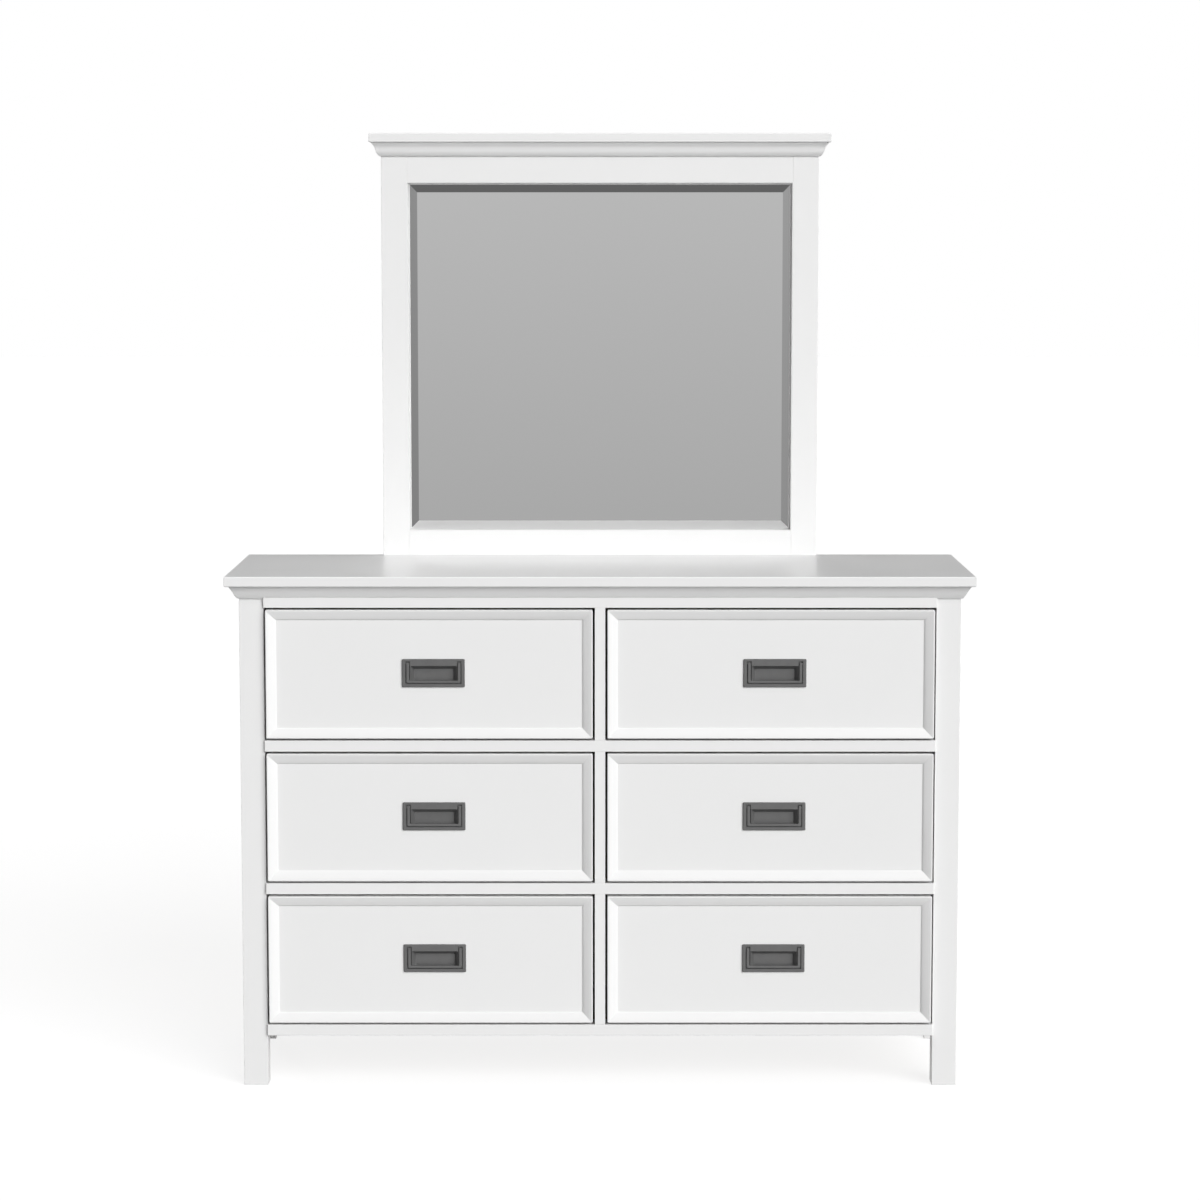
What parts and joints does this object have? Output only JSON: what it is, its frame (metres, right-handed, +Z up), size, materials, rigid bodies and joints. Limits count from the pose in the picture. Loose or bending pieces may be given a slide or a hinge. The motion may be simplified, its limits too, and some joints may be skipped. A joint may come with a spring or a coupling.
{
  "type": "dresser with mirror",
  "caption": "White dresser on square post legs with two columns of bevel-fronted drawers, dark recessed bail pulls and an upright framed mirror on its top.",
  "frame": {"origin": "on the floor, in the middle of the whole object's width and depth", "axes": "+X to the right along the dresser, +Y to its back, +Z up; the drawers open towards -Y"},
  "size_m": [1.424, 0.474, 1.832],
  "materials": {
    "white_lacquer": "satin white lacquer",
    "gunmetal": "satin dark gunmetal",
    "mirror_glass": "silvered bevelled glass",
    "drawer_wood": "clear-sealed pale wood",
    "guide_wood": "bare planed wood",
    "plywood": "bare plywood",
    "backing_board": "bare fibreboard"
  },
  "bodies": {
    "carcass": {"top_panel": "white_lacquer", "crown_front": "white_lacquer", "crown_left": "white_lacquer", "crown_right": "white_lacquer", "front_post_left": "white_lacquer", "front_post_right": "white_lacquer", "rear_post_left": "white_lacquer", "rear_post_right": "white_lacquer", "side_panel_left": "white_lacquer", "side_panel_right": "white_lacquer", "apron_rail": "white_lacquer", "upper_rail": "white_lacquer", "lower_rail": "white_lacquer", "bottom_rail": "white_lacquer", "centre_stile_top": "white_lacquer", "centre_stile_middle": "white_lacquer", "centre_stile_bottom": "white_lacquer", "centre_partition": "plywood", "back_panel": "plywood", "drawer_guide_bottom_left": "guide_wood", "drawer_guide_bottom_right": "guide_wood", "drawer_guide_middle_left": "guide_wood", "drawer_guide_middle_right": "guide_wood", "drawer_guide_top_left": "guide_wood", "drawer_guide_top_right": "guide_wood", "mirror_stile_left": "white_lacquer", "mirror_stile_right": "white_lacquer", "mirror_top_rail": "white_lacquer", "mirror_bottom_rail": "white_lacquer", "mirror_cap": "white_lacquer", "mirror_crown": "white_lacquer", "mirror_bead": "white_lacquer", "mirror_glass": "mirror_glass", "mirror_backing": "backing_board", "mirror_support_left": "guide_wood", "mirror_support_right": "guide_wood"},
    "drawer_bottom_left": {"drawer_front_bottom_left": "white_lacquer", "drawer_box_bottom_left": "drawer_wood", "pull_plate_bottom_left": "gunmetal"},
    "bail_bottom_left": {"pull_bail_bottom_left": "gunmetal"},
    "drawer_bottom_right": {"drawer_front_bottom_right": "white_lacquer", "drawer_box_bottom_right": "drawer_wood", "pull_plate_bottom_right": "gunmetal"},
    "bail_bottom_right": {"pull_bail_bottom_right": "gunmetal"},
    "drawer_middle_left": {"drawer_front_middle_left": "white_lacquer", "drawer_box_middle_left": "drawer_wood", "pull_plate_middle_left": "gunmetal"},
    "bail_middle_left": {"pull_bail_middle_left": "gunmetal"},
    "drawer_middle_right": {"drawer_front_middle_right": "white_lacquer", "drawer_box_middle_right": "drawer_wood", "pull_plate_middle_right": "gunmetal"},
    "bail_middle_right": {"pull_bail_middle_right": "gunmetal"},
    "drawer_top_left": {"drawer_front_top_left": "white_lacquer", "drawer_box_top_left": "drawer_wood", "pull_plate_top_left": "gunmetal"},
    "bail_top_left": {"pull_bail_top_left": "gunmetal"},
    "drawer_top_right": {"drawer_front_top_right": "white_lacquer", "drawer_box_top_right": "drawer_wood", "pull_plate_top_right": "gunmetal"},
    "bail_top_right": {"pull_bail_top_right": "gunmetal"}
  },
  "joints": [
    {"name": "drawer_bottom_left_slide", "type": "slide", "parent": "carcass", "child": "drawer_bottom_left", "axis": [0, -1, 0], "range_m": [0, 0.33]},
    {"name": "bail_bottom_left_hinge", "type": "hinge", "parent": "drawer_bottom_left", "child": "bail_bottom_left", "pos_m": [-0.317, -0.2139, 0.26725], "axis": [-1, 0, 0], "range_deg": [0, 100]},
    {"name": "drawer_bottom_right_slide", "type": "slide", "parent": "carcass", "child": "drawer_bottom_right", "axis": [0, -1, 0], "range_m": [0, 0.33]},
    {"name": "bail_bottom_right_hinge", "type": "hinge", "parent": "drawer_bottom_right", "child": "bail_bottom_right", "pos_m": [0.333, -0.2139, 0.26725], "axis": [-1, 0, 0], "range_deg": [0, 100]},
    {"name": "drawer_middle_left_slide", "type": "slide", "parent": "carcass", "child": "drawer_middle_left", "axis": [0, -1, 0], "range_m": [0, 0.33]},
    {"name": "bail_middle_left_hinge", "type": "hinge", "parent": "drawer_middle_left", "child": "bail_middle_left", "pos_m": [-0.317, -0.2139, 0.54325], "axis": [-1, 0, 0], "range_deg": [0, 100]},
    {"name": "drawer_middle_right_slide", "type": "slide", "parent": "carcass", "child": "drawer_middle_right", "axis": [0, -1, 0], "range_m": [0, 0.33]},
    {"name": "bail_middle_right_hinge", "type": "hinge", "parent": "drawer_middle_right", "child": "bail_middle_right", "pos_m": [0.333, -0.2139, 0.54325], "axis": [-1, 0, 0], "range_deg": [0, 100]},
    {"name": "drawer_top_left_slide", "type": "slide", "parent": "carcass", "child": "drawer_top_left", "axis": [0, -1, 0], "range_m": [0, 0.33]},
    {"name": "bail_top_left_hinge", "type": "hinge", "parent": "drawer_top_left", "child": "bail_top_left", "pos_m": [-0.317, -0.2139, 0.81925], "axis": [-1, 0, 0], "range_deg": [0, 100]},
    {"name": "drawer_top_right_slide", "type": "slide", "parent": "carcass", "child": "drawer_top_right", "axis": [0, -1, 0], "range_m": [0, 0.33]},
    {"name": "bail_top_right_hinge", "type": "hinge", "parent": "drawer_top_right", "child": "bail_top_right", "pos_m": [0.333, -0.2139, 0.81925], "axis": [-1, 0, 0], "range_deg": [0, 100]}
  ]
}
